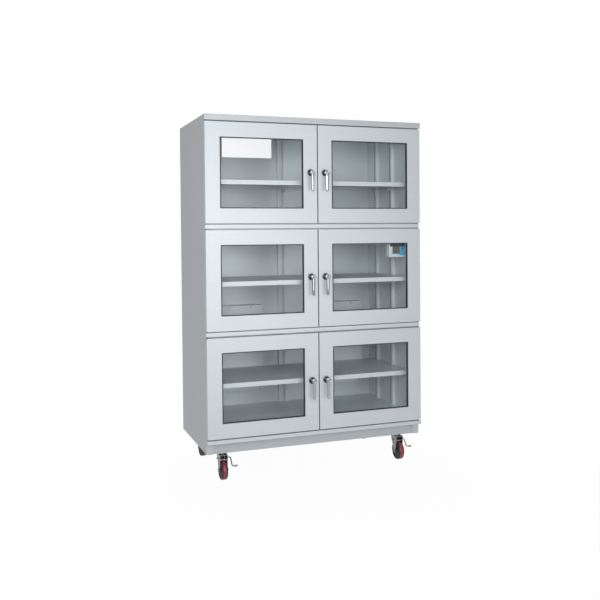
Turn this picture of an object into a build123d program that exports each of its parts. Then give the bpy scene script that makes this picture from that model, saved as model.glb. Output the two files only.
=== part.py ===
"""Six-door desiccator cabinet on four swivel castors, in millimetres.

+Z is up, the doors face -Y and the origin is on the floor under the middle of the whole cabinet.
The carcass is folded sheet: outer trays closed by liners, a front frame of rails round six door
openings, five shelves hung on slotted standards and two drying units on the back wall. Each door
turns on two pivot pins and is closed by a lever with a key cylinder and a cam behind the mullion.
"""
import os
from build123d import *

# Overall sizes
width = 1200.0              # over the top strip
carcass_depth = 609.0       # front frame to back edge
castor_height = 150.0
plinth_height = 56.0
lip_height = 20.0
rail_height = 22.0
cap_height = 30.0
sheet = 1.5                 # carcass and door sheet
base_sheet = 2.0
bend = 2.0                  # outside radius of a folded edge
side_wall = 33.0            # outer skin to inner sheet
back_wall = 10.0

# Doors
row_names = ("lower", "middle", "upper")
door_height = 512.0
door_thickness = 28.0
door_frame = 77.0           # width of the frame round the window
seam = 5.0                  # gap between doors, rails and strips
side_reveal = 2.0           # doors and sides sit this far in from the strips' ends
gasket_gap = 3.0            # closed door to carcass
gasket_inset = 10.0
gasket_width = 12.0
gasket_clearance = 0.3
frame_overlap = 28.0        # how far the front frame reaches behind each door
rail_setback = 12.0         # rail front behind the door faces
cap_proud = 2.0             # top strip in front of the door faces
glazing_lip = 4.0
glazing_front = 0.5
glazing_depth = 14.0
glass_thickness = 5.0
glass_setback = 6.0
glass_bite = 2.5            # how deep the glass sits in its glazing strip

# Door pivots
pin_radius = 4.0
pin_reach = 8.0             # how far a pin enters the rail
pin_from_edge = 7.0
pin_from_face = 19.0
pivot_block_height = 12.0
running_clearance = 0.05

# Door lever, cam and key cylinder
lever_reach = 42.0          # key cylinder's front from the door face
lever_from_middle = 40.0
lever_above_middle = 8.0
lever_arm = 98.0
lever_head_radius = 13.0
lever_head_thickness = 17.0
lever_arm_width = 17.0
lever_tip_width = 14.0
lever_arm_thickness = 11.0
lever_neck_radius = 9.0
lever_edge = 4.0
head_edge = 2.5
rosette_radius = 18.0
rosette_thickness = 6.0
spindle_radius = 6.0
collar_radius = 9.0
collar_thickness = 4.5
cam_clearance = 1.0         # cam behind the mullion's sheet
cam_reach = 20.0
cam_width = 12.0
cam_thickness = 3.0
nut_radius = 8.0
nut_thickness = 3.5
cylinder_radius = 7.0
cylinder_length = 12.0
cylinder_proud = 1.0
keyway = (2.0, 5.0, 8.0)    # width, depth, height
seat_gap = 0.3              # between parts that turn against each other

# Front frame
mullion_half_width = 28.0
mullion_web = 16.0
mullion_depth = 20.0

# Interior
floor_top = 267.0
liner_drop = 28.0           # ceiling liner below the carcass top
first_shelf_top = 500.0
shelf_pitch = 261.0
shelf_count = 5
shelf_edge = 24.0
shelf_front = 58.0          # behind the door faces
shelf_gap = 3.0             # shelf to wall and to standard
shelf_rear_gap = 5.0        # shelf to drying unit
standard_width = 44.0
standard_depth = 17.0
standard_places = (72.0, 282.0, 492.0)   # middles, behind the door faces
post_width = 60.0
post_depth = 20.0
slot = (16.0, 7.0)          # width, height
slot_pitch = 30.0
clip_drop = 9.0
clip_width = 12.0
clip_overlap = 12.0         # clip under the shelf
unit_inner = 148.0          # drying unit's near edge from the middle
unit_width = 330.0
unit_bottom = 359.0
unit_height = 494.0
unit_depth = 90.0
unit_lid = 28.0             # strip over the cover's groove
unit_groove = (3.0, 1.0)    # height, depth
upper_knobs = (142.0, 262.0)    # from the cover's left edge
lower_knobs = (19.0, 311.0)
upper_knob_drop = 11.0      # below the cover's top edge
lower_knob_rise = 20.0      # above its bottom edge
knob_radius = 7.0
knob_length = 11.0

# Humidity controller behind the right middle door
meter_from_side = 40.0      # case to the inner sheet
meter_width = 98.0
meter_height = 86.0
meter_drop = 40.0           # case top below the rail's face plate
meter_depth = 42.0
meter_gap = 4.0             # behind the front frame
meter_edge = 3.0
meter_bracket = (40.0, 2.0)  # width, thickness

# Mains inlet in the back
inlet_size = (50.0, 28.0)
inlet_cavity = (26.0, 18.0)
inlet_depth = 18.0
inlet_flange = 2.0
inlet_border = 4.0
inlet_from_side = 85.0      # inlet's middle from the inner sheet
inlet_above_plinth = 30.0
inlet_pin = (2.0, 12.0, 4.0)
inlet_pin_pitch = 7.0

# Castors
castor_from_side = 100.0
castor_inset = 82.0         # swivel axis from the plinth's edge
plinth_setback = 40.0
pad_size = (130.0, 139.0)
pad_thickness = 4.0
plate_size = 95.0
plate_thickness = 4.0
plate_bolt_place = 36.0
plate_bolt_radius = 7.0
plate_bolt_height = 4.0
race_radius = 31.0
race_height = 8.7
kingpin_radius = 6.0
kingpin_top = 0.5           # below the mounting face
crown_radius = 29.0
crown_height = 6.0
bridge_height = 3.0
castor_trail = 33.0
fork_front = 19.0           # fork in front of the axle
fork_back = 20.0            # fork behind the swivel axis
leg_thickness = 3.0
leg_tip_radius = 13.0
wheel_radius = 50.0
wheel_width = 32.0
wheel_crown = 6.0           # rounding of the tread's shoulders
wheel_recess = 3.0
hub_radius = 13.0
rim_inner = 40.0
hub_gap = 0.5               # hub to fork leg
axle_radius = 5.0
axle_head_radius = 8.5
axle_head = 5.0

# Brake lever of the front castors
rod_radius = 3.0
rod_ahead = 13.0            # rod axis in front of the swivel axis
rod_height = 108.0
rod_stub = 30.0
rod_crank = 44.0
rod_drop = 38.0
rod_bend = 8.0
pedal_reach = 72.0
pedal_radius = 4.5
pedal_length = 16.0
shoe_reach = 15.0
shoe_drop = 5.0
shoe_half_width = 12.0

# Levels and planes that follow
depth = carcass_depth + gasket_gap + door_thickness + lever_reach
back_y = depth / 2
frame_y = back_y - carcass_depth
door_back_y = frame_y - gasket_gap
face_y = door_back_y - door_thickness
half_width = width / 2
side_x = half_width - side_reveal
inner_x = side_x - side_wall
plinth_top = castor_height + plinth_height
lip_top = plinth_top + lip_height
row_pitch = door_height + rail_height + 2 * seam
door_bottoms = [lip_top + seam + row * row_pitch for row in range(len(row_names))]
rail_bottoms = [bottom + door_height + seam for bottom in door_bottoms]
cap_bottom = rail_bottoms[-1]
top_z = cap_bottom + cap_height
skin_z = top_z - sheet
liner_y = back_y - side_reveal - back_wall
unit_y = liner_y - unit_depth
frame_back_y = frame_y + sheet
inlet_place = (inlet_from_side - inner_x, plinth_top + inlet_above_plinth)


def block(x, y, z):
    """A box between two corners, from a (low, high) pair along each axis."""
    spans = (x, y, z)
    middle = [(low + high) / 2 for low, high in spans]
    size = [high - low for low, high in spans]
    return Pos(*middle) * Box(*size)


def grown(span, by):
    """A (low, high) pair moved outwards at both ends."""
    return (span[0] - by, span[1] + by)


def tray(x, y, z, wall, open_to):
    """A folded tray: a box of sheet that is open on one side, such as "+y"."""
    inner = {"x": [x[0] + wall, x[1] - wall], "y": [y[0] + wall, y[1] - wall],
             "z": [z[0] + wall, z[1] - wall]}
    end = 1 if open_to[0] == "+" else 0
    inner[open_to[1]][end] += wall if end else -wall
    outer = block(x, y, z)
    open_face = outer.faces().sort_by({"x": Axis.X, "y": Axis.Y, "z": Axis.Z}[open_to[1]])[-end]
    outer = fillet(outer.edges() - open_face.edges(), bend)
    return outer - block(inner["x"], inner["y"], inner["z"])


def rod(radius, start, end, direction="z", at=(0, 0)):
    """A round bar along one axis between two levels, at the other two coordinates."""
    middle, length = (start + end) / 2, end - start
    if direction == "x":
        return Pos(middle, *at) * Rot(0, 90, 0) * Cylinder(radius, length)
    if direction == "y":
        return Pos(at[0], middle, at[1]) * Rot(90, 0, 0) * Cylinder(radius, length)
    return Pos(*at, middle) * Cylinder(radius, length)


def ring(x, z, border, y):
    """A rectangular ring in the door's plane, its border running inwards."""
    hole = block((x[0] + border, x[1] - border), y, (z[0] + border, z[1] - border))
    return block(x, y, z) - hole


def slab(outline, thickness):
    """A flat plate that stands on its outline and rises along +Z."""
    return extrude(outline, thickness, dir=(0, 0, 1))


def rounded_end(top, level, radius, centre):
    """Outline that tapers from a straight top edge down to a half-round end."""
    x, y = centre
    with BuildSketch() as outline:
        with BuildLine():
            Polyline((x - radius, y), (top[0], level), (top[1], level), (x + radius, y))
            ThreePointArc((x + radius, y), (x, y - radius), (x - radius, y))
        make_face()
    return outline.sketch


def both_sides(part):
    """The part and its mirror image across the cabinet's middle."""
    return [part, mirror(part, about=Plane.YZ)]


os.makedirs("parts", exist_ok=True)


def save(name, *solids):
    """Writes one node from its separate solids."""
    shape = solids[0] if len(solids) == 1 else Compound(children=list(solids))
    shape.label = name
    export_step(shape, f"parts/{name}.step")


# ---- Carcass -------------------------------------------------------------------------------
def side_panel():
    """Left outer tray from plinth to top; its front flange is the door jamb."""
    return tray((-side_x, -inner_x), (frame_y, back_y), (castor_height, skin_z), sheet, "+x")


def back_panel():
    """Outer back tray, with the opening for the mains inlet."""
    panel = tray((-inner_x, inner_x), (liner_y, back_y - side_reveal),
                 (castor_height, skin_z), sheet, "-y")
    return panel - inlet_hole()


def inlet_hole():
    """Cutter for the mains inlet, through the back and the floor pan behind it."""
    x, z = inlet_place
    half_x, half_z = inlet_size[0] / 2 - inlet_border, inlet_size[1] / 2 - inlet_border
    return block((x - half_x, x + half_x), (liner_y - 2 * sheet, back_y), (z - half_z, z + half_z))


def top_panel():
    """Top skin with the folded strip over the doors, bored for the upper pivot pins."""
    skin = block((-side_x, side_x), (frame_y, back_y), (skin_z, top_z))
    strip = tray((-half_width, half_width), (face_y - cap_proud, frame_y),
                 (cap_bottom, top_z), sheet, "+y")
    return skin + strip - pivot_holes(cap_bottom, sheet)


def pivot_holes(level, height):
    """Bores for the pins of a left and a right door through the sheet at a level."""
    place = (-side_x + pin_from_edge, face_y + pin_from_face)
    hole = rod(pin_radius + running_clearance, level - height, level + 2 * height, "z", place)
    return both_sides(hole)


def liners():
    """Inner sheets of the sides, back and ceiling, and the floor pan."""
    inside_y = (frame_back_y, back_y - sheet)
    side = block((-inner_x - sheet, -inner_x), inside_y, (castor_height + sheet, skin_z - sheet))
    back = block((-inner_x + sheet, inner_x - sheet), (liner_y, liner_y + sheet),
                 (castor_height + sheet, skin_z - sheet))
    ceiling_z = skin_z - liner_drop
    ceiling = block((-inner_x, inner_x), (frame_back_y, liner_y), (ceiling_z, ceiling_z + sheet))
    floor = tray((-inner_x, inner_x), (frame_back_y, liner_y), (plinth_top, floor_top), sheet, "-z")
    return [*both_sides(side), back - inlet_hole(), ceiling, floor - inlet_hole()]


def base_frame():
    """Recessed plinth: a pan open below, with a thick pad in each corner for a castor."""
    y = (face_y + plinth_setback, liner_y)
    pan = tray((-inner_x, inner_x), y, (castor_height, plinth_top), base_sheet, "-z")
    pad_z = (castor_height, castor_height + pad_thickness)
    for front_y in (y[0], y[1] - pad_size[1]):
        pad = block((-inner_x, -inner_x + pad_size[0]), (front_y, front_y + pad_size[1]), pad_z)
        pan += both_sides(pad)
    return pan


def front_frame():
    """Face plates behind the door edges, the rails and lip between doors, and the mullion."""
    plate_y = (frame_y, frame_back_y)
    tops = [plinth_top, *[bottom - seam - rail_height for bottom in door_bottoms[1:]], cap_bottom]
    solids = []
    for number, bottom in enumerate(tops):
        low = bottom if number == 0 else bottom - seam - frame_overlap
        above = bottom + (lip_height if number == 0 else rail_height) + seam + frame_overlap
        high = skin_z if number == len(tops) - 1 else above
        solids.append(block((-inner_x, inner_x), plate_y, (low, high)))
    for bottom in door_bottoms:
        upright_z = (bottom + frame_overlap, bottom + door_height - frame_overlap)
        solids.append(block((-mullion_half_width, mullion_half_width), plate_y, upright_z))
    web_y = (frame_back_y, frame_back_y + mullion_depth)
    web_z = (floor_top, skin_z - liner_drop)
    web = block((-mullion_web / 2, mullion_web / 2), web_y, web_z)
    solids.append(web - block((sheet - mullion_web / 2, mullion_web / 2 - sheet),
                              (web_y[0], web_y[1] - sheet), web_z))
    lip = tray((-half_width, half_width), (face_y, frame_y), (plinth_top, lip_top), sheet, "+y")
    solids.append(lip - pivot_holes(lip_top - sheet, sheet))
    for bottom in rail_bottoms[:-1]:
        rail = tray((-side_x, side_x), (face_y + rail_setback, frame_y),
                    (bottom, bottom + rail_height), sheet, "+y")
        rail -= pivot_holes(bottom, sheet)
        rail -= pivot_holes(bottom + rail_height - sheet, sheet)
        solids.append(rail)
    return solids


# ---- Interior ------------------------------------------------------------------------------
standard_z = (floor_top, skin_z - liner_drop)
slot_count = int((standard_z[1] - standard_z[0] - slot_pitch) // slot_pitch) + 1
slot_levels = [standard_z[0] + slot_pitch * (number + 0.75) for number in range(slot_count)]
slot_span = (-slot[1] / 2, slot[1] / 2)
shelf_tops = [first_shelf_top + shelf_pitch * number for number in range(shelf_count)]


def shelf_standard(place):
    """Slotted channel on the left wall, its middle at a place behind the door faces."""
    y, half = face_y + place, standard_width / 2
    x = (-inner_x, -inner_x + standard_depth)
    bar = block(x, (y - half, y + half), standard_z)
    bar -= block((x[0], x[1] - sheet), (y - half + sheet, y + half - sheet), standard_z)
    cutter = block((x[1] - sheet, x[1]), (y - slot[0] / 2, y + slot[0] / 2), slot_span)
    return bar - [Pos(0, 0, level) * cutter for level in slot_levels]


def back_post():
    """Slotted channel up the middle of the back wall."""
    half, front = post_width / 2, liner_y - post_depth
    post = block((-half, half), (front, liner_y), standard_z)
    post -= block((sheet - half, half - sheet), (front + sheet, liner_y), standard_z)
    cutter = block((-slot[0] / 2, slot[0] / 2), (front, front + sheet), slot_span)
    return post - [Pos(0, 0, level) * cutter for level in slot_levels]


def shelf(top):
    """Shelf with its edges folded down, notched round the standards."""
    edge_x, notch_x = inner_x - shelf_gap, inner_x - standard_depth - shelf_gap
    x, y = (-edge_x, edge_x), (face_y + shelf_front, unit_y - shelf_rear_gap)
    z, under = (top - shelf_edge, top), (top - shelf_edge, top - sheet)
    plate = block(x, y, z)
    plate = fillet(plate.edges().filter_by(Axis.X).group_by(Axis.Z)[-1], bend)
    hollow = block(grown(x, -sheet), grown(y, -sheet), under)
    for place in standard_places:
        middle, half = face_y + place, standard_width / 2 + shelf_gap
        notch_y = (middle - half, middle + half)
        plate -= both_sides(block((-inner_x, -notch_x), notch_y, z))
        hollow -= both_sides(block((-inner_x, sheet - notch_x), grown(notch_y, sheet), under))
    return plate - hollow


def shelf_clips(top):
    """Hooks in the standards under one shelf."""
    z = (top - shelf_edge - clip_drop, top - shelf_edge)
    clips = []
    x = (-inner_x + standard_depth, -inner_x + standard_depth + shelf_gap + clip_overlap)
    for place in standard_places:
        y = face_y + place
        clip = block(x, (y - clip_width / 2, y + clip_width / 2), z)
        clips += both_sides(clip)
    rear_y = (unit_y - shelf_rear_gap - clip_overlap, liner_y - post_depth)
    clips.append(block((-clip_width / 2, clip_width / 2), rear_y, z))
    return clips


def drying_unit():
    """Cover of the left drying unit, with its thumb-screws."""
    x0 = -unit_inner - unit_width
    top = unit_bottom + unit_height
    cover = tray((x0, -unit_inner), (unit_y, liner_y), (unit_bottom, top), sheet, "+y")
    cover -= block((x0, -unit_inner), (unit_y, unit_y + unit_groove[1]),
                   (top - unit_lid - unit_groove[0], top - unit_lid))
    places = [(x0 + x, top - upper_knob_drop) for x in upper_knobs]
    places += [(x0 + x, unit_bottom + lower_knob_rise) for x in lower_knobs]
    knobs = [rod(knob_radius, unit_y - knob_length, unit_y, "y", place) for place in places]
    return [cover, *knobs]


def humidity_controller():
    """Small case hung from the rail above by a bracket."""
    y = (frame_back_y + meter_gap, frame_back_y + meter_gap + meter_depth)
    x = (inner_x - meter_from_side - meter_width, inner_x - meter_from_side)
    plate_bottom = rail_bottoms[1] - seam - frame_overlap
    case_top = plate_bottom - meter_drop
    case = block(x, y, (case_top - meter_height, case_top))
    case = fillet(case.edges(), meter_edge)
    middle, half = (x[0] + x[1]) / 2, meter_bracket[0] / 2
    post = block((middle - half, middle + half), (frame_back_y, frame_back_y + meter_bracket[1]),
                 (case_top - meter_edge, plate_bottom + half))
    foot = block((middle - half, middle + half), (frame_back_y, y[1] - meter_edge),
                 (case_top, case_top + meter_bracket[1]))
    return [case, post + foot]


def mains_inlet():
    """Three-pin inlet whose flange lies on the back panel."""
    x, z = inlet_place
    skin = back_y - side_reveal
    half = [size / 2 for size in inlet_size]
    flange = block((x - half[0], x + half[0]), (skin, skin + inlet_flange), (z - half[1], z + half[1]))
    flange = fillet(flange.edges().filter_by(Axis.Y), inlet_border)
    body = block((x - half[0] + inlet_border, x + half[0] - inlet_border), (skin - inlet_depth, skin),
                 (z - half[1] + inlet_border, z + half[1] - inlet_border))
    cavity = block((x - inlet_cavity[0] / 2, x + inlet_cavity[0] / 2),
                   (skin - inlet_depth + inlet_flange, back_y),
                   (z - inlet_cavity[1] / 2, z + inlet_cavity[1] / 2))
    inlet = flange + body - cavity
    for step, drop in ((-1, -1), (0, 1), (1, -1)):
        pin_x, pin_z = x + step * inlet_pin_pitch, z + drop * inlet_pin[0]
        start = skin - inlet_depth + inlet_flange
        inlet += block((pin_x - inlet_pin[0] / 2, pin_x + inlet_pin[0] / 2),
                       (start, start + inlet_pin[1]),
                       (pin_z - inlet_pin[2] / 2, pin_z + inlet_pin[2] / 2))
    return inlet


# ---- Left door, with its bottom edge at z = 0 ----------------------------------------------
door_x = (-side_x, -seam / 2)
door_z = (0.0, door_height)
door_y = (face_y, door_back_y)
pivot = (-lever_from_middle, door_height / 2 + lever_above_middle)
window_x = (door_x[0] + door_frame, door_x[1] - door_frame)
window_z = (door_frame, door_height - door_frame)


def door_shell():
    """Folded door skin with returns round the window, and the flat liner that closes it."""
    skin = block(door_x, door_y, door_z) - block(window_x, door_y, window_z)
    skin = fillet(skin.faces().sort_by(Axis.Y)[0].edges(), bend)
    hollow = block(grown(door_x, -sheet), (face_y + sheet, door_back_y), grown(door_z, -sheet))
    wall = block(grown(window_x, sheet), door_y, grown(window_z, sheet))
    skin -= hollow - wall
    liner_span = (door_back_y - sheet, door_back_y)
    liner = block(grown(door_x, -sheet), liner_span, grown(door_z, -sheet))
    liner -= block(grown(window_x, sheet), liner_span, grown(window_z, sheet))
    bore = rod(spindle_radius + running_clearance, *door_y, "y", pivot)
    pin_place = (door_x[0] + pin_from_edge, face_y + pin_from_face)
    pins = rod(pin_radius + running_clearance, *grown(door_z, sheet), "z", pin_place)
    return [skin - bore - pins, liner - bore]


def door_glass():
    """Pane held in the glazing strip."""
    edge = glazing_lip - glass_bite
    y = (face_y + glass_setback, face_y + glass_setback + glass_thickness)
    return block(grown(window_x, -edge), y, grown(window_z, -edge))


def door_seals():
    """Glazing strip with its groove, and the soft gasket on the door's back."""
    strip = ring(window_x, window_z, glazing_lip, (face_y - glazing_front, face_y + glazing_depth))
    gasket_x, gasket_z = grown(door_x, -gasket_inset), grown(door_z, -gasket_inset)
    gasket_y = (door_back_y, frame_y - gasket_clearance)
    return [strip - door_glass(), ring(gasket_x, gasket_z, gasket_width, gasket_y)]


def door_hardware():
    """Rosette and inner collar of the lever, and the two pivot pins in their blocks."""
    bore = rod(spindle_radius + running_clearance, face_y - lever_reach, frame_y + lever_reach,
               "y", pivot)
    rosette = rod(rosette_radius, face_y - rosette_thickness, face_y, "y", pivot)
    rosette = fillet(rosette.edges().sort_by(Axis.Y)[0], rosette_thickness / 2)
    collar = rod(collar_radius, door_back_y, door_back_y + collar_thickness, "y", pivot)
    pin_x, pin_y = door_x[0] + pin_from_edge, face_y + pin_from_face
    pieces = [rosette - bore, collar - bore]
    half_x, half_y = pin_from_edge - sheet, door_thickness - sheet - pin_from_face
    for level, up in ((sheet, -1), (door_height - sheet, 1)):
        block_z = sorted((level, level - up * pivot_block_height))
        body = block((pin_x - half_x, pin_x + half_x), (pin_y - half_y, pin_y + half_y - sheet), block_z)
        pin_z = sorted((level, level + up * (sheet + seam + pin_reach)))
        pieces.append(body + rod(pin_radius, *pin_z, "z", (pin_x, pin_y)))
    return pieces


def door_lever():
    """Lever hanging from its head, on the spindle that carries the cam inside."""
    x, z = pivot
    head_front = face_y - lever_reach + cylinder_proud
    head_back = head_front + lever_head_thickness
    head = rod(lever_head_radius, head_front, head_back, "y", pivot)
    tip_radius = lever_tip_width / 2
    outline = rounded_end((-lever_arm_width / 2, lever_arm_width / 2), 0,
                          tip_radius, (0, tip_radius - lever_arm))
    arm_back = head_back - (lever_head_thickness - lever_arm_thickness) / 2
    arm = Pos(x, arm_back, z) * Rot(90, 0, 0) * slab(outline, lever_arm_thickness)
    front_edges = arm.edges().group_by(Axis.Y)
    arm = fillet(front_edges[0] + front_edges[-1], lever_edge)
    head = fillet(head.edges().filter_by(GeomType.CIRCLE), head_edge)
    neck = rod(lever_neck_radius, head_back - head_edge, face_y - rosette_thickness - seat_gap,
               "y", pivot)
    cam_y = frame_back_y + cam_clearance
    spindle = rod(spindle_radius, face_y - rosette_thickness - seat_gap, cam_y, "y", pivot)
    cam = block((x - cam_width / 2, x + cam_width / 2), (cam_y, cam_y + cam_thickness),
                (z - nut_radius, z + cam_reach))
    nut_y = (cam_y + cam_thickness, cam_y + cam_thickness + nut_thickness)
    nut = Pos(x, nut_y[1], z) * Rot(90, 0, 0) * slab(RegularPolygon(nut_radius, 6), nut_thickness)
    bore = rod(cylinder_radius + running_clearance, head_front - cylinder_proud,
               head_front - cylinder_proud + cylinder_length + seat_gap, "y", pivot)
    return head + arm + neck + spindle + cam + nut - bore


def lock_cylinder():
    """Key cylinder in the lever's head."""
    x, z = pivot
    front = face_y - lever_reach
    body = rod(cylinder_radius, front, front + cylinder_length, "y", pivot)
    slot_x, slot_y, slot_z = keyway
    return body - block((x - slot_x / 2, x + slot_x / 2), (front, front + slot_y),
                        (z - slot_z / 2, z + slot_z / 2))


# ---- Castor, with its swivel axis at x = y = 0 ---------------------------------------------
fork_top = castor_height - plate_thickness - race_height - seat_gap
crown_bottom = fork_top - crown_height
bridge_bottom = crown_bottom - bridge_height
leg_inner = wheel_width / 2 + wheel_recess / 2 + hub_gap
leg_outer = leg_inner + leg_thickness


def castor_plate():
    """Top plate with its ball race and four bolts."""
    half = plate_size / 2
    plate_z = (castor_height - plate_thickness, castor_height)
    plate = block((-half, half), (-half, half), plate_z)
    plate = fillet(plate.edges().filter_by(Axis.Z), plate_thickness)
    plate += rod(race_radius, plate_z[0] - race_height, plate_z[0])
    for x in (-plate_bolt_place, plate_bolt_place):
        for y in (-plate_bolt_place, plate_bolt_place):
            head = RegularPolygon(plate_bolt_radius, 6)
            plate += Pos(x, y, plate_z[0] - plate_bolt_height) * slab(head, plate_bolt_height)
    return plate - rod(kingpin_radius + running_clearance, 0, castor_height)


def castor_fork(has_brake):
    """Crown, kingpin, two legs and the axle bolt; the wheel runs ahead of the swivel."""
    fork = rod(crown_radius, crown_bottom, fork_top)
    fork += rod(kingpin_radius, fork_top, castor_height - kingpin_top)
    y_front = -castor_trail - fork_front
    fork += block((-leg_outer, leg_outer), (y_front, fork_back), (bridge_bottom, crown_bottom))
    outline = rounded_end((y_front, fork_back), crown_bottom, leg_tip_radius,
                          (-castor_trail, wheel_radius))
    leg = Plane.YZ * slab(outline, leg_thickness)
    if has_brake:
        leg -= rod(rod_radius + running_clearance, -leg_thickness, 2 * leg_thickness, "x",
                   (-rod_ahead, rod_height))
    fork += Pos(leg_inner, 0, 0) * leg
    fork += Pos(-leg_outer, 0, 0) * leg
    axle = (-castor_trail, wheel_radius)
    fork += rod(axle_radius, -leg_outer, leg_outer, "x", axle)
    fork += rod(axle_head_radius, -leg_outer - axle_head, -leg_outer, "x", axle)
    fork += rod(axle_head_radius, leg_outer, leg_outer + axle_head, "x", axle)
    return fork


def castor_wheel():
    """Wheel with rounded shoulders, a recessed web and a hub bored for the axle."""
    half, web = wheel_width / 2, wheel_width / 2 - wheel_recess
    hub, bore = half + wheel_recess / 2, axle_radius + running_clearance
    tread, shoulder = half - wheel_crown, wheel_radius - wheel_crown
    with BuildSketch() as profile:
        with BuildLine():
            Polyline((-hub, bore), (hub, bore), (hub, hub_radius), (web, hub_radius),
                     (web, rim_inner), (half, rim_inner), (half, shoulder))
            TangentArc((half, shoulder), (tread, wheel_radius), tangent=(0, 1))
            Line((tread, wheel_radius), (-tread, wheel_radius))
            TangentArc((-tread, wheel_radius), (-half, shoulder), tangent=(-1, 0))
            Polyline((-half, shoulder), (-half, rim_inner), (-web, rim_inner),
                     (-web, hub_radius), (-hub, hub_radius), (-hub, bore))
        make_face()
    wheel = revolve(profile.sketch, Axis.X)
    return Pos(0, -castor_trail, wheel_radius) * Rot(-90, 0, 0) * wheel


def brake_lever():
    """Bent rod through the fork, cranked out to a pedal, with a shoe over the tread."""
    y, z = -rod_ahead, rod_height
    path = FilletPolyline((-rod_stub, y, z), (rod_crank, y, z),
                          (rod_crank, y - rod_drop, z - rod_drop),
                          (pedal_reach, y - rod_drop, z - rod_drop), radius=rod_bend)
    section = Plane(origin=(-rod_stub, y, z), z_dir=(1, 0, 0)) * Circle(rod_radius)
    lever = sweep(section, path=path)
    lever += rod(pedal_radius, pedal_reach - pedal_length, pedal_reach, "x",
                 (y - rod_drop, z - rod_drop))
    shoe = Polygon((0, rod_radius), (0, -rod_radius), (-shoe_reach, -shoe_drop),
                   (-shoe_reach, -shoe_drop + rod_radius), align=None)
    shoe = Plane.YZ * slab(shoe, 2 * shoe_half_width)
    return lever + Pos(-shoe_half_width, y, z) * shoe


# ---- Writing the nodes ---------------------------------------------------------------------
left_side = side_panel()
save("side_panel_left", left_side)
save("side_panel_right", mirror(left_side, about=Plane.YZ))
save("back_panel", back_panel())
save("top_panel", top_panel())
save("liners", *liners())
save("base_frame", base_frame())
save("front_frame", *front_frame())

standards = [bar for place in standard_places for bar in both_sides(shelf_standard(place))]
save("shelf_standards", *standards, back_post())
save("shelves", *[shelf(top) for top in shelf_tops])
save("shelf_clips", *[clip for top in shelf_tops for clip in shelf_clips(top)])
unit_pitch = 2 * unit_inner + unit_width
save("drying_units", *[Pos(x, 0, 0) * piece for x in (0, unit_pitch) for piece in drying_unit()])
save("humidity_controller", *humidity_controller())
save("mains_inlet", mains_inlet())

door_parts = {"door_shell": door_shell(), "glass": [door_glass()], "seals": door_seals(),
              "door_hardware": door_hardware(), "lever": [door_lever()],
              "lock_cylinder": [lock_cylinder()]}
for part_name, solids in door_parts.items():
    for side, hand in (("left", solids), ("right", [mirror(s, about=Plane.YZ) for s in solids])):
        for row, bottom in zip(row_names, door_bottoms):
            save(f"{row}_{side}_{part_name}", *[Pos(0, 0, bottom) * solid for solid in hand])

front_castor_y = face_y + plinth_setback + castor_inset
rear_castor_y = liner_y - castor_inset
castor_x = half_width - castor_from_side
corners = [(f"{end}_{side}", x, y, turn)
           for end, y, turn in (("front", front_castor_y, 0), ("rear", rear_castor_y, 180))
           for side, x in (("left", -castor_x), ("right", castor_x))]
plate, wheel, brake = castor_plate(), castor_wheel(), brake_lever()
forks = {True: castor_fork(True), False: castor_fork(False)}
save("castor_plates", *[Pos(x, y, 0) * plate for _, x, y, _ in corners])
for corner, x, y, turn in corners:
    is_front = turn == 0
    place = Pos(x, y, 0) * Rot(0, 0, turn)
    save(f"{corner}_castor_fork", place * forks[is_front])
    save(f"{corner}_castor_wheel", place * wheel)
    if is_front:
        save(f"{corner}_brake_lever", place * brake)
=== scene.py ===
from math import pi, radians

import bmesh
import bpy
import numpy as np
from mathutils import Matrix, Vector


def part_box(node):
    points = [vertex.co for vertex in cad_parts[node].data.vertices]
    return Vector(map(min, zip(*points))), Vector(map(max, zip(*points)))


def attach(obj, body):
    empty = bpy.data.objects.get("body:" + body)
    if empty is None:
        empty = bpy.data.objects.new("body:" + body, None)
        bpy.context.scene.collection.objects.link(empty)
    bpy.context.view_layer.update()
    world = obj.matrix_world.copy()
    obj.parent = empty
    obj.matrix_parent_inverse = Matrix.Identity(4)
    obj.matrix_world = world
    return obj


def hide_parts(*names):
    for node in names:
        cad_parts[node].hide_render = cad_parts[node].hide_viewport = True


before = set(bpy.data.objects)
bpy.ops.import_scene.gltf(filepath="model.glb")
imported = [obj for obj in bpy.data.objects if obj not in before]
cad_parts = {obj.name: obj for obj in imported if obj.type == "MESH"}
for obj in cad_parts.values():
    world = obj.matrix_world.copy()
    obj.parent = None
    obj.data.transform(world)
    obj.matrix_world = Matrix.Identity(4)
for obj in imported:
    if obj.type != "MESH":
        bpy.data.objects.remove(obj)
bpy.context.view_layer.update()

# ---- Carcass skins ---------------------------------------------------------------------------
# The cabinet's sides, back, top strip, rails and plinth are folded from 1.5 mm steel sheet.
# The sheet has a fine grain that runs level. The sides, back and top strip are darker copies of
# the rail and door steel, as painted shade, and the plinth is darker still, as more painted shade.


class Field:
    """A value, colour or vector that varies over a surface, held as the socket that gives it."""

    def __init__(self, finish, socket):
        self.finish, self.socket = finish, socket

    def maths(self, operation, *terms):
        """A Math node of that operation on this field and the others."""
        return self.finish.node("ShaderNodeMath", {"operation": operation}, dict(enumerate(terms)))

    def __add__(self, other):
        return self.maths("ADD", self, other)

    def __rsub__(self, other):
        return self.maths("SUBTRACT", other, self)

    def __mul__(self, other):
        return self.maths("MULTIPLY", self, other)

    def __gt__(self, other):
        return self.maths("GREATER_THAN", self, other)

    __radd__ = __add__
    __rmul__ = __mul__


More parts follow.
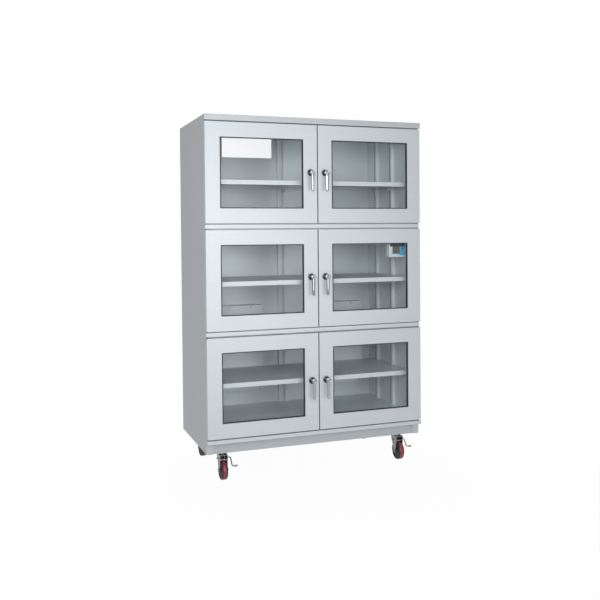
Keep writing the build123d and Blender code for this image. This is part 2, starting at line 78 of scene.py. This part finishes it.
class Finish:
    """A node material while it is being put together."""

    def __init__(self, name, tree=None):
        if tree is None:
            self.material = bpy.data.materials.new(name)
            self.material.use_nodes = True
            tree = self.material.node_tree
        self.tree = tree
        tree.nodes.clear()

    def node(self, kind, settings=None, sockets=None, output=0):
        """Adds a node: its settings first, then the values or links of its sockets."""
        node = self.tree.nodes.new(kind)
        for name, value in (settings or {}).items():
            setattr(node, name, value)
        for place, value in (sockets or {}).items():
            socket = node.inputs[place]
            if isinstance(value, Field):
                self.tree.links.new(value.socket, socket)
            elif socket.type == "RGBA":
                socket.default_value = (*value, 1)
            else:
                socket.default_value = value
        return Field(self, node.outputs[output]) if node.outputs else None

    def place(self, centre=(0, 0, 0), stretch=(1, 1, 1)):
        """Object coordinates, stretched about a centre."""
        spot = self.node("ShaderNodeTexCoord", output=3)
        shift = tuple(-c * s for c, s in zip(centre, stretch))
        return self.node("ShaderNodeMapping", {},
                         {"Vector": spot, "Location": shift, "Scale": stretch})

    def along(self, axis, spot):
        """One coordinate of a place, by its number."""
        return self.node("ShaderNodeSeparateXYZ", {}, {0: spot}, axis)

    def noise(self, spot, scale, detail=2.0):
        """Soft noise from 0 to 1, so many cells to the metre."""
        return self.node("ShaderNodeTexNoise", {},
                         {"Vector": spot, "Scale": scale, "Detail": detail})

    def between(self, share, first, second):
        """Colour that goes from the first to the second as the share goes from 0 to 1."""
        return self.node("ShaderNodeMix", {"data_type": "RGBA"}, {0: share, 6: first, 7: second}, 2)

    def bump(self, height, strength, depth):
        """Surface direction of a relief that is so many metres deep."""
        return self.node("ShaderNodeBump", {},
                         {"Height": height, "Strength": strength, "Distance": depth})

    def body(self, **sockets):
        """The surface shader, its sockets named with _ for a space."""
        named = {name.replace("_", " "): value for name, value in sockets.items()}
        return self.node("ShaderNodeBsdfPrincipled", {}, named)

    def done(self, shader):
        """Sends the shader to the output and gives the material."""
        self.node("ShaderNodeOutputMaterial", {}, {"Surface": shader})
        return self.material


def shade(colour, factor):
    """The colour made darker or paler by a factor."""
    return tuple(min(channel * factor, 1.0) for channel in colour)


def grained_steel(name, colour, spread=0.045, gloss=0.36, metal=0.25):
    """Sheet with a level grain: long fine scratches over broader streaks and a slow drift."""
    sheet = Finish(name)
    scratches = sheet.noise(sheet.place(stretch=(6, 6, 1400)), 1.0, 3.0)
    streaks = sheet.noise(sheet.place(stretch=(2.5, 2.5, 90)), 1.0, 3.0)
    drift = sheet.noise(sheet.place(), 2.2, 3.0)
    tone = 0.35 * scratches + 0.35 * streaks + 0.3 * drift
    dark, pale = shade(colour, 1 - 2 * spread), shade(colour, 1 + 2 * spread)
    return sheet.done(sheet.body(
        Base_Color=sheet.between(tone, dark, pale), Metallic=metal,
        Roughness=gloss + 0.10 * streaks + 0.08 * scratches,
        Normal=sheet.bump(scratches, 0.12, 0.0002)))


def dress(material, *nodes):
    """Gives CAD nodes their finish."""
    for node in nodes:
        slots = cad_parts[node].data.materials
        slots.clear()
        slots.append(material)


silver = (0.56, 0.605, 0.635)
# Painted shade: the sides, back and top strip are the rail steel made darker, the plinth darker
# still.
dress(grained_steel("shaded_skin_steel", shade(silver, 0.84)), "side_panel_left", "side_panel_right",
      "back_panel")
dress(grained_steel("shaded_cap_steel", shade(silver, 0.84)), "top_panel")
dress(grained_steel("shaded_plinth_steel", shade(silver, 0.76)), "base_frame")
dress(grained_steel("rail_steel", silver), "front_frame")

# ---- Interior --------------------------------------------------------------------------------
# Liners, shelves and drying units are pressed from the same sheet, with a paler grain.
# The shelves lift off their zinc-plated hooks.
inner_steel = grained_steel("inner_steel", (0.845, 0.880, 0.893))
dress(inner_steel, "liners", "drying_units")
dress(grained_steel("shelf_steel", (0.76, 0.79, 0.80), metal=0.15), "shelves")


def zinc_plate(name, colour):
    """Bright zinc: blotchy passivation and fine rolling marks."""
    zinc = Finish(name)
    spot = zinc.place()
    blotch, marks = zinc.noise(spot, 60.0, 4.0), zinc.noise(spot, 900.0)
    warm = (colour[0] * 1.06, colour[1] * 1.03, colour[2] * 0.93)
    return zinc.done(zinc.body(Base_Color=zinc.between(blotch, colour, warm), Metallic=1.0,
                               Roughness=0.26 + 0.18 * blotch,
                               Normal=zinc.bump(marks, 0.15, 0.0002)))


dress(zinc_plate("clip_zinc", (0.62, 0.64, 0.66)), "shelf_clips")

# ---- Slotted standards -----------------------------------------------------------------------
# Six rolled channels on the side walls and a wider one up the middle of the back wall.
# A row of hook slots is punched up the middle of each, every 15 mm; the inside is coloured near
# black as painted shade.


def piece(name, body, slot, material, points, quads, smooth=True):
    """A new mesh that rides on a body, of one material or of (one, other, which quads are other).

    Points that coincide are joined, so that seams close, and a quad (a, b, c, d) with a = b
    becomes the triangle (b, c, d). Faces are turned outwards.
    """
    _, first, joined = np.unique(np.round(points * 1e7), axis=0, return_index=True,
                                 return_inverse=True)
    quads = joined.reshape(-1)[quads]
    equal = quads == np.roll(quads, 1, axis=1)
    tris = equal.sum(axis=1) == 1
    mesh = bpy.data.meshes.new(name)
    mesh.from_pydata(points[first].tolist(), [], quads[~equal.any(axis=1)].tolist()
                     + quads[tris][~equal[tris]].reshape(-1, 3).tolist())
    shape = bmesh.new()
    shape.from_mesh(mesh)
    bmesh.ops.recalc_face_normals(shape, faces=shape.faces)
    shape.to_mesh(mesh)
    shape.free()
    if isinstance(material, tuple):
        *material, other = material
        mesh.polygons.foreach_set("material_index", other.astype(np.int32))
    for coat in np.atleast_1d(material):
        mesh.materials.append(coat)
    if smooth:
        mesh.shade_smooth()
        mesh.set_sharp_from_angle(angle=radians(32))
    made = bpy.data.objects.new(name, mesh)
    bpy.context.scene.collection.objects.link(made)
    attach(made, body)
    return made


def filled_cells(edges, filled):
    """Closed surface round the filled cells of a box grid.

    Cell (i, j, k) lies between edges[0][i] and edges[0][i + 1], and so on. A quad stands
    wherever filled changes along an axis: at edges[axis][i], across the cell's other two sides.
    """
    padded = np.pad(filled, 1).astype(int)
    counts = [len(line) for line in edges]
    points = np.stack(np.meshgrid(*edges, indexing="ij"), axis=-1).reshape(-1, 3)
    quads = []
    for axis in range(3):
        others = [other for other in range(3) if other != axis]
        change = np.diff(padded, axis=axis)
        for other in others:
            change = np.delete(change, [0, -1], axis=other)
        cell = np.argwhere(change != 0)
        corner = np.repeat(cell[:, None], 4, axis=1)
        corner[:, [1, 2], others[0]] += 1
        corner[:, [2, 3], others[1]] += 1
        quads.append(np.ravel_multi_index(tuple(np.moveaxis(corner, -1, 0)), counts))
    return points, np.concatenate(quads)


def slotted_channel(width, depth, low, high, sheet=0.0015, pitch=0.015, slot=(0.016, 0.007)):
    """Channel up Z with its web at w = depth, its flanges reaching back to w = 0 at u = +-width/2.

    Edges are u across, w out from the wall and z up; the slots leave the middle u cell of the
    web empty at z = low + pitch (n + 1/2).
    """
    half = width / 2
    across = np.array([-half, sheet - half, -slot[0] / 2, slot[0] / 2, half - sheet, half])
    out = np.array([0.0, depth - sheet, depth])
    middles = low + pitch * (np.arange(int((high - low) / pitch)) + 0.5)
    up = np.concatenate([[low], (middles[:, None] + [-slot[1] / 2, slot[1] / 2]).ravel(), [high]])
    filled = np.zeros((5, 2, len(up) - 1), bool)
    filled[:, 1] = True
    filled[[0, 4], 0] = True
    filled[2, 1, 1::2] = False
    return filled_cells((across, out, up), filled)


def together(*parts):
    """Several (points, quads) as one."""
    starts = np.cumsum([0] + [len(points) for points, _ in parts[:-1]])
    return (np.concatenate([points for points, _ in parts]),
            np.concatenate([quads + start for (_, quads), start in zip(parts, starts)]))


(_, _, floor_z), (wall_x, wall_y, ceiling_z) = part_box("shelf_standards")
side_width, side_depth = 0.044, 0.017
side_middles = (-0.227, -0.017, 0.193)
post_width, post_depth = 0.060, 0.020
narrow, narrow_quads = slotted_channel(side_width, side_depth, floor_z, ceiling_z)
wide, wide_quads = slotted_channel(post_width, post_depth, floor_z, ceiling_z)
bars = [(np.stack([side * (wall_x - narrow[:, 1]), middle_y + narrow[:, 0], narrow[:, 2]],
                  axis=1), narrow_quads)
        for side in (-1, 1) for middle_y in side_middles]
bars.append((np.stack([wide[:, 0], wall_y - wide[:, 1], wide[:, 2]], axis=1), wide_quads))

# A quad is on the inside, which is coloured near black as painted shade, when its middle is
# nearer than this to u = 0 and to the wall.
side_inside, post_inside = (0.0208, 0.0156), (0.0288, 0.0186)
inside = [np.all(np.abs(plan[quads].mean(axis=1)[:, :2]) <= reach, axis=1)
          for plan, quads, reach in [(narrow, narrow_quads, side_inside)] * 6
          + [(wide, wide_quads, post_inside)]]
# Painted shade: near-black steel inside the channels, so that the slots look dark.
shade_black_steel = grained_steel("shade_black_steel", (0.07, 0.075, 0.08), metal=0.0)
standards = piece("slotted_standards", "carcass", "interior_steel",
                  (inner_steel, shade_black_steel, np.concatenate(inside)), *together(*bars), smooth=False)
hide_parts("shelf_standards")

# ---- Drying units ----------------------------------------------------------------------------
# Each unit's flat cover is held on the back wall by four black knurled thumb-screws.


def moulding(name, colour, gloss=0.42, grain_size=1500.0):
    """Injection-moulded plastic with a fine spark-eroded grain."""
    plastic = Finish(name)
    spot = plastic.place()
    grain, tone = plastic.noise(spot, grain_size), plastic.noise(spot, 25.0, 3.0)
    return plastic.done(plastic.body(Base_Color=plastic.between(tone, shade(colour, 0.93), colour),
                                     Roughness=gloss + 0.10 * grain,
                                     Normal=plastic.bump(grain, 0.20, 0.0002)))


def turned(profile, spots, axis, steps=72, flutes=0, bite=0.0):
    """Surfaces of revolution about lines along one axis, one at each spot.

    (along, radius) runs over the profile's points and t over a turn; the point is
    spot + along axis + radius (1 - bite cos^2(flutes t / 2)) (cos t, sin t) across it.
    """
    along, radius = np.array(profile).T
    turn = np.linspace(0, 2 * pi, steps, endpoint=False)[:, None]
    reach = radius * (1 - bite * np.cos(flutes * turn / 2) ** 2)
    across = [other for other in range(3) if other != axis]
    ring = np.zeros((steps, len(along), 3))
    ring[..., axis] = along
    ring[..., across[0]], ring[..., across[1]] = reach * np.cos(turn), reach * np.sin(turn)
    points = (np.array(spots)[:, None, None] + ring).reshape(-1, 3)
    order = np.arange(len(points)).reshape(len(spots), steps, len(along))
    onward = np.roll(order, -1, axis=1)
    quads = np.stack([order[..., :-1], onward[..., :-1], onward[..., 1:], order[..., 1:]], axis=-1)
    return points, quads.reshape(-1, 4)


knob_black = moulding("knob_black", (0.025, 0.026, 0.028))
knob = [(0.0, 0.0), (0.0, 0.0074), (-0.0085, 0.0074), (-0.0098, 0.0068), (-0.0104, 0.0052),
        (-0.0106, 0.0)]
cover_front = 0.239
cover_left_edges = (-0.478, 0.148)
upper_screws, lower_screws = 0.842, 0.379     # heights
screw_places = ((0.142, upper_screws), (0.262, upper_screws), (0.019, lower_screws),
                (0.311, lower_screws))        # (from the cover's left edge, height)
knob_spots = [(left + across, cover_front, height)
              for left in cover_left_edges for across, height in screw_places]
piece("thumb_screws", "carcass", "black_plastic", knob_black,
      *turned(knob, knob_spots, axis=1, steps=48, flutes=16, bite=0.07))

# ---- Humidity controller ---------------------------------------------------------------------
# A moulded off-white case hangs behind the right middle pane. Its face is printed blue, is near
# black across its top, and carries a display window and one domed button.


def wrapped(rows):
    """Points and quads of a grid whose rows each run once round a piece.

    Quad (i, j) joins points (i, j), (i, j + 1), (i + 1, j + 1) and (i + 1, j), with j + 1 back
    at 0 after the last.
    """
    order = np.arange(rows[..., 0].size).reshape(rows.shape[:2])
    onward = np.roll(order, -1, axis=1)
    quads = np.stack([order[:-1], onward[:-1], onward[1:], order[1:]], axis=-1)
    return rows.reshape(-1, 3), quads.reshape(-1, 4)


def rounded_sheet(x, z, radius, y, rise, steps=10):
    """Plate with round corners, from y to a flat front at y - rise, whose edge is bent.

    The bend's rows go inwards by rise (1 - cos s) and forwards by rise sin s, with s up to a
    right angle. The first and last rows close on the middle.
    """
    arc = np.linspace(0, pi / 2, steps)
    corner = np.concatenate([arc + quarter * pi / 2 for quarter in range(4)])
    centre_x = np.repeat([x[1] - radius, x[0] + radius, x[0] + radius, x[1] - radius], steps)
    centre_z = np.repeat([z[1] - radius, z[1] - radius, z[0] + radius, z[0] + radius], steps)
    reach = radius - rise * (1 - np.cos(arc))[:, None]
    rim = np.stack(np.broadcast_arrays(
        centre_x + reach * np.cos(corner), y - rise * np.sin(arc)[:, None],
        centre_z + reach * np.sin(corner)), axis=-1)
    middle_x, middle_z = (x[0] + x[1]) / 2, (z[0] + z[1]) / 2
    back = np.full(rim[:1].shape, (middle_x, y, middle_z))
    front = np.full(rim[:1].shape, (middle_x, y - rise, middle_z))
    return wrapped(np.concatenate([back, rim, front]))


dress(moulding("case_white", (0.95, 0.955, 0.955)), "humidity_controller")
bracket_gap = 0.004      # from the bracket's front to the case's
case_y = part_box("humidity_controller")[0].y + bracket_gap
face_x, face_z = (0.4315, 0.5215), (1.1395, 1.2130)
display_x, display_z = (0.4470, 0.4920), (1.1500, 1.1900)
button_x, button_z = 0.5075, 1.1800
print_middle = (0.4765, 0, 1.176)
band_height = 0.014      # above the print's middle
face_colours = Finish("face_colours")
spot = face_colours.place(print_middle)
sideways, height = face_colours.along(0, spot), face_colours.along(2, spot)
fleck = face_colours.noise(face_colours.place(), 900.0)
blue = face_colours.between(30.0 * sideways + 0.35, (0.62, 0.80, 0.82), (0.08, 0.42, 0.68))
band = height > band_height
face_colours = face_colours.done(face_colours.body(
    Base_Color=face_colours.between(band, blue, (0.03, 0.05, 0.06)),
    Roughness=0.30 + 0.08 * fleck, Normal=face_colours.bump(fleck, 0.1, 0.0001)))
piece("controller_face", "carcass", "white_plastic", face_colours,
      *rounded_sheet(face_x, face_z, radius=0.004, y=case_y, rise=0.0008))
dark_film = Finish("dark_film")
haze = dark_film.noise(dark_film.place(), 60.0)
dark_film = dark_film.done(dark_film.body(
    Base_Color=dark_film.between(haze, (0.10, 0.075, 0.06), (0.16, 0.125, 0.10)),
    Roughness=0.12 + 0.05 * haze, Coat_Weight=0.5))
piece("controller_display", "carcass", "black_plastic", dark_film,
      *rounded_sheet(display_x, display_z, radius=0.002, y=case_y - 0.0006, rise=0.0008))
button = [(0.0, 0.0), (0.0, 0.0046), (-0.0012, 0.0044), (-0.0020, 0.0034), (-0.0024, 0.0018),
          (-0.0025, 0.0)]
piece("controller_button", "carcass", "black_plastic",
      moulding("button_blue", (0.015, 0.05, 0.10)),
      *turned(button, [(button_x, case_y - 0.0005, button_z)], axis=1, steps=48))
dress(moulding("inlet_black", (0.03, 0.03, 0.032)), "mains_inlet")

# ---- Doors -----------------------------------------------------------------------------------
# Each door is a pressed skin over a flat liner, with a pane held in a black glazing strip.
# A soft gasket runs round its back, and the door turns on two pins in its outer edge.
doors = [f"{row}_{side}" for row in ("lower", "middle", "upper") for side in ("left", "right")]
dress(grained_steel("door_steel", silver), *[f"{door}_door_shell" for door in doors])


def rubber(name, colour=(0.022, 0.024, 0.026)):
    """Matt black extrusion with a dusty bloom."""
    black = Finish(name)
    spot = black.place()
    bloom, grain = black.noise(spot, 40.0, 4.0), black.noise(spot, 1200.0)
    return black.done(black.body(Base_Color=black.between(bloom, colour, shade(colour, 1.8)),
                                 Roughness=0.50 + 0.25 * bloom,
                                 Normal=black.bump(grain, 0.2, 0.0002)))


dress(rubber("black_rubber"), *[f"{door}_seals" for door in doors])


def float_glass(name):
    """Clear pane: it lets light straight through and mirrors more of it the flatter it is seen."""
    pane = Finish(name)
    smears = pane.noise(pane.place(), 9.0, 3.0)
    clear = pane.node("ShaderNodeBsdfTransparent", {}, {"Color": (0.932, 0.948, 0.956)})
    shine = pane.body(Base_Color=(1.0, 1.0, 1.0), Metallic=1.0, Roughness=0.05 + 0.03 * smears)
    mirror = pane.node("ShaderNodeFresnel", {}, {"IOR": 1.5})
    inside = pane.node("ShaderNodeNewGeometry", {}, {}, 6)
    share = 0.16 * mirror * (1.0 - inside)
    return pane.done(pane.node("ShaderNodeMixShader", {}, {0: share, 1: clear, 2: shine}))


dress(float_glass("float_glass"), *[f"{door}_glass" for door in doors])

# ---- Label -----------------------------------------------------------------------------------
# A bare white plastic label is stuck on the upper left pane, in its top left corner.
label_film = Finish("label_film")
pulp = label_film.noise(label_film.place(), 800.0)
label_film = label_film.done(label_film.body(
    Base_Color=label_film.between(pulp, (0.80, 0.82, 0.83), (0.90, 0.92, 0.93)),
    Roughness=0.45 + 0.1 * pulp, Normal=label_film.bump(pulp, 0.05, 0.0001)))
pane_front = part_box("upper_left_glass")[0].y
label_x, label_z = (-0.5095, -0.2505), (1.6520, 1.7495)
piece("window_label", "upper_left_door", "white_plastic", label_film,
      *rounded_sheet(label_x, label_z, radius=0.002, y=pane_front, rise=0.0005))

# ---- Levers ----------------------------------------------------------------------------------
# Cast and plated handles hang from round heads that hold the key cylinders. Inside, each one's
# spindle carries a flat cam and a hexagon nut.


def chrome(name, colour):
    """Polished plating of a colour, with faint wiping marks."""
    plate = Finish(name)
    wipe = plate.noise(plate.place(stretch=(1, 1, 0.2)), 260.0, 3.0)
    tint = plate.between(wipe, shade(colour, 0.9), shade(colour, 1.1))
    return plate.done(plate.body(Base_Color=tint, Metallic=1.0, Roughness=0.03 + 0.04 * wipe,
                                 Normal=plate.bump(wipe, 0.04, 0.0002)))


def lever_arm(top, length=0.097, head=(0.0085, 0.0058), tip=(0.0068, 0.0048), bow=0.0012,
              rows=44, steps=40):
    """Tapered arm that hangs from a point, oval across, with a ball end.

    s runs from 0 to 1 down the arm and t round it. Half width and depth (a, b) go from head to
    tip as s does, times sqrt(1 - q^2) with q the share of the last tip[0] metres; the point is
    top + (a cos t, b sin t - bow sin(pi s), -length s), bowed towards the hand.
    """
    s = np.sin(np.linspace(0, pi / 2, rows))[:, None]
    t = np.linspace(0, 2 * pi, steps, endpoint=False)
    ball = np.clip((s - 1) * length / tip[0] + 1, 0, 1)
    half = [(near + (far - near) * s) * np.sqrt(1 - ball ** 2) for near, far in zip(head, tip)]
    surface = np.stack(np.broadcast_arrays(
        half[0] * np.cos(t), half[1] * np.sin(t) - bow * np.sin(pi * s), -length * s), axis=-1)
    cap = np.zeros((1, steps, 3))
    return wrapped(np.concatenate([cap, surface]) + np.array(top))


polished = chrome("polished_chrome", (0.38, 0.39, 0.40))
dress(polished, *[f"{door}_lock_cylinder" for door in doors])
dress(chrome("black_chrome", (0.10, 0.105, 0.11)), *[f"{door}_door_hardware" for door in doors])
head_turn = [(0.0127, 0.0), (0.0127, 0.0072), (0.0006, 0.0072), (0.0001, 0.0080), (0.0, 0.0095),
             (0.0007, 0.0112), (0.0024, 0.0124), (0.0050, 0.0130), (0.0110, 0.0130),
             (0.0140, 0.0124), (0.0158, 0.0108), (0.0166, 0.0092), (0.0200, 0.0084),
             (0.0300, 0.0082), (0.0346, 0.0088), (0.0346, 0.0060), (0.0745, 0.0060),
             (0.0745, 0.0)]
nut_turn = [(0.0775, 0.0), (0.0775, 0.0072), (0.0780, 0.0078), (0.0805, 0.0078), (0.0810, 0.0072),
            (0.0810, 0.0)]
cam_half, cam_below, cam_above, cam_sheet = 0.006, 0.008, 0.020, 0.003
cam_inset = 0.0065                   # from the end of the spindle to the cam's front
arm_back, arm_drop = 0.0080, 0.001   # from the head's face to the arm's middle, and below it
face_sunk = 0.001                    # the head's face behind the key cylinder's
for door in doors:
    _, spindle_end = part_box(f"{door}_lever")
    key_low, key_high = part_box(f"{door}_lock_cylinder")
    middle = (key_low + key_high) / 2
    spot = (middle.x, key_low.y + face_sunk, middle.z)
    cam_front = spindle_end.y - cam_inset
    cam = rounded_sheet((spot[0] - cam_half, spot[0] + cam_half),
                        (spot[2] - cam_below, spot[2] + cam_above), radius=0.003,
                        y=cam_front + cam_sheet, rise=cam_sheet)
    handle = piece(f"{door}_handle_casting", f"{door}_handle", "chrome", polished,
                   *together(turned(head_turn, [spot], axis=1),
                             turned(nut_turn, [spot], axis=1, steps=6), cam,
                             lever_arm((spot[0], spot[1] + arm_back, spot[2] - arm_drop))))
    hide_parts(f"{door}_lever")

# ---- Castors ---------------------------------------------------------------------------------
# Zinc-plated swivel forks carry black wheels with a dark red polyurethane band round the tread.
# The crown's sheet turns down behind each wheel as a web between the legs, coloured near black
# as painted shade.
corners = [f"{end}_{side}" for end in ("front", "rear") for side in ("left", "right")]
dress(zinc_plate("castor_zinc", (0.21, 0.222, 0.235)), "castor_plates",
      *[f"{corner}_castor_fork" for corner in corners], "front_left_brake_lever",
      "front_right_brake_lever")
band_half, rim_half, hub_half = 0.0092, 0.0160, 0.0175
band_inside, band_outside, band_fall = 0.0450, 0.0499, 0.0016     # radii, and the fall at its edges
crown = np.linspace(-1, 1, 17)
tread_crown = np.stack([band_half * crown, band_outside - band_fall * crown ** 4], axis=1)
tread_band = [(-band_half, band_inside), *tread_crown.tolist(), (band_half, band_inside),
              (-band_half, band_inside)]
half_rim = [(0.0, 0.0465), (band_half, 0.0465), (0.0096, 0.0490), (0.0125, 0.0484),
            (0.0150, 0.0464), (rim_half, 0.0435), (rim_half, 0.0400), (0.0150, 0.0392),
            (0.0125, 0.0380), (0.0118, 0.0300), (0.0122, 0.0180), (0.0135, 0.0140),
            (0.0165, 0.0130), (hub_half, 0.0122), (hub_half, 0.0052), (0.0, 0.0052)]
rim = [(-along, radius) for along, radius in reversed(half_rim)] + half_rim
red_band = moulding("red_tread", (0.30, 0.040, 0.060), 0.35)
rim_black = moulding("rim_black", (0.012, 0.012, 0.014), 0.55)
# Painted shade: the web is a near-black copy of the castor zinc.
shadowed_zinc = zinc_plate("shadowed_zinc", (0.06, 0.063, 0.067))
web_half, web_low, web_high = 0.0178, 0.092, 0.1279
web_behind, web_slope, web_sheet = 0.051, 0.40, 0.002
wheel_steps = 96
for corner in corners:
    low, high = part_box(f"{corner}_castor_wheel")
    hub = [(low + high) / 2]
    tread = piece(f"{corner}_tread", f"{corner}_wheel", "red_polyurethane", red_band,
                  *turned(tread_band, hub, axis=0, steps=wheel_steps))
    core = piece(f"{corner}_rim", f"{corner}_wheel", "black_plastic", rim_black,
                 *turned(rim, hub, axis=0, steps=wheel_steps))
    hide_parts(f"{corner}_castor_wheel")
    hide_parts(f"{corner}_castor_wheel")
    fork_low, fork_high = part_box(f"{corner}_castor_fork")
    backwards = np.sign((fork_low.y + fork_high.y) / 2 - hub[0].y)
    web, web_quads = rounded_sheet((hub[0].x - web_half, hub[0].x + web_half),
                                   (web_low, web_high), radius=0.003, y=web_behind,
                                   rise=web_sheet)
    web[:, 1] = hub[0].y + backwards * (web[:, 1] + web_slope * (web[:, 2] - web_high))
    piece(f"{corner}_shade_web", f"{corner}_swivel", "zinc_plate", shadowed_zinc, web, web_quads)

# ---- Studio ----------------------------------------------------------------------------------
# A white room with soft lamps in front, behind and at the right, as for a catalogue picture.
# The floor is seen nearly plain white, and wholly so away from the cabinet.
floor_half = 30.0
bpy.ops.mesh.primitive_plane_add(size=2 * floor_half)
floor = bpy.context.object
floor.name = "studio_floor"


def seen_directly(look):
    """1 for what the camera sees, straight on, in a mirror or through glass, and otherwise 0."""
    path = look.node("ShaderNodeLightPath").socket.node
    flags = [Field(look, path.outputs[name])
             for name in ("Is Camera Ray", "Is Glossy Ray", "Is Transmission Ray")]
    return (flags[0] + flags[1] + flags[2]) > 0.5


paper = Finish("studio_paper")
distance = paper.node("ShaderNodeVectorMath", {"operation": "LENGTH"},
                      {0: paper.place((0, -0.3, 0))}, 1)
fade = paper.node("ShaderNodeMapRange", {"interpolation_type": "SMOOTHSTEP"},
                  {0: distance, 1: 0.5, 2: 1.6, 3: 0.0, 4: 1.0})
matt = paper.body(Base_Color=(0.86, 0.86, 0.86), Roughness=0.9)
white = paper.node("ShaderNodeEmission", {}, {"Color": (1, 1, 1), "Strength": 1.0})
whiteness = (0.97 + 0.03 * fade) * seen_directly(paper)
floor.data.materials.append(paper.done(
    paper.node("ShaderNodeMixShader", {}, {0: whiteness, 1: matt, 2: white})))

ambient = 0.14
world = bpy.data.worlds.new("studio_air")
world.use_nodes = True
bpy.context.scene.world = world
air = Finish("studio_air", world.node_tree)
strength = ambient + seen_directly(air) * (1.0 - ambient)
sky = air.node("ShaderNodeBackground", {}, {"Color": (1, 1, 1), "Strength": strength})
air.node("ShaderNodeOutputWorld", {}, {"Surface": sky})


def softbox(name, place, target, size, power, mirrored=True):
    """A square lamp at a place, turned to a target, that mirrors show unless told not to."""
    lamp = bpy.data.lights.new(name, "AREA")
    lamp.energy, lamp.shape, lamp.size = power, "SQUARE", size
    stand = bpy.data.objects.new(name, lamp)
    stand.location = place
    stand.rotation_euler = (Vector(target) - Vector(place)).to_track_quat("-Z", "Y").to_euler()
    stand.visible_camera = False
    stand.visible_glossy = mirrored
    bpy.context.scene.collection.objects.link(stand)


softbox("key_lamp", (-1.4, -2.3, 1.8), (-0.3, -0.3, 1.3), 1.0, 18.0, mirrored=False)
softbox("front_lamp", (-1.3, -4.4, 1.7), (0.0, 0.0, 0.9), 1.2, 51.0)
softbox("side_lamp", (0.55, -4.4, 1.2), (-0.3, 0.0, 1.1), 1.6, 33.0)
softbox("back_lamp", (0.2, 4.2, 2.2), (0.0, 0.3, 1.0), 1.6, 60.0)
softbox("right_lamp", (3.8, 0.9, 1.8), (0.6, 0.0, 1.0), 1.6, 40.0)

# Two black cards that only mirrors see give the plating its dark edges.
card_black = Finish("card_black")
felt = card_black.noise(card_black.place(), 200.0)
card_black = card_black.done(card_black.body(
    Base_Color=card_black.between(felt, (0.01, 0.01, 0.01), (0.02, 0.02, 0.02)), Roughness=0.9))
near, far, foot, head = -4.4, -1.2, 0.02, 2.6
for name, card_x in (("left_card", -3.2), ("right_card", 3.2)):
    edge = [(card_x, y, z) for y, z in ((near, foot), (far, foot), (far, head), (near, head))]
    mesh = bpy.data.meshes.new(name)
    mesh.from_pydata(edge, [], [(0, 1, 2, 3)])
    mesh.materials.append(card_black)
    card = bpy.data.objects.new(name, mesh)
    bpy.context.scene.collection.objects.link(card)
    card.visible_camera = card.visible_diffuse = card.visible_shadow = False
    card.visible_transmission = False

# The camera stands in front on the left, at chest height.
eye = (-1.49259, -4.32640, 1.27337)
turn, tilt, roll = radians(-21.1542), radians(-1.2737), radians(0.4412)
focal_pixels, picture = 818.84, 600
centre_x, centre_y = 330, 250
camera = bpy.data.cameras.new("camera")
camera.sensor_width = 36.0
camera.lens = focal_pixels / picture * camera.sensor_width
camera.shift_x = (picture / 2 - centre_x) / picture
camera.shift_y = (centre_y - picture / 2) / picture
tripod = bpy.data.objects.new("camera", camera)
tripod.matrix_world = (Matrix.Translation(eye) @ Matrix.Rotation(turn, 4, "Z")
                       @ Matrix.Rotation(tilt, 4, "X") @ Matrix.Rotation(roll, 4, "Y")
                       @ Matrix.Rotation(pi / 2, 4, "X"))
bpy.context.scene.collection.objects.link(tripod)
bpy.context.scene.camera = tripod
bpy.context.scene.view_settings.view_transform = "Standard"
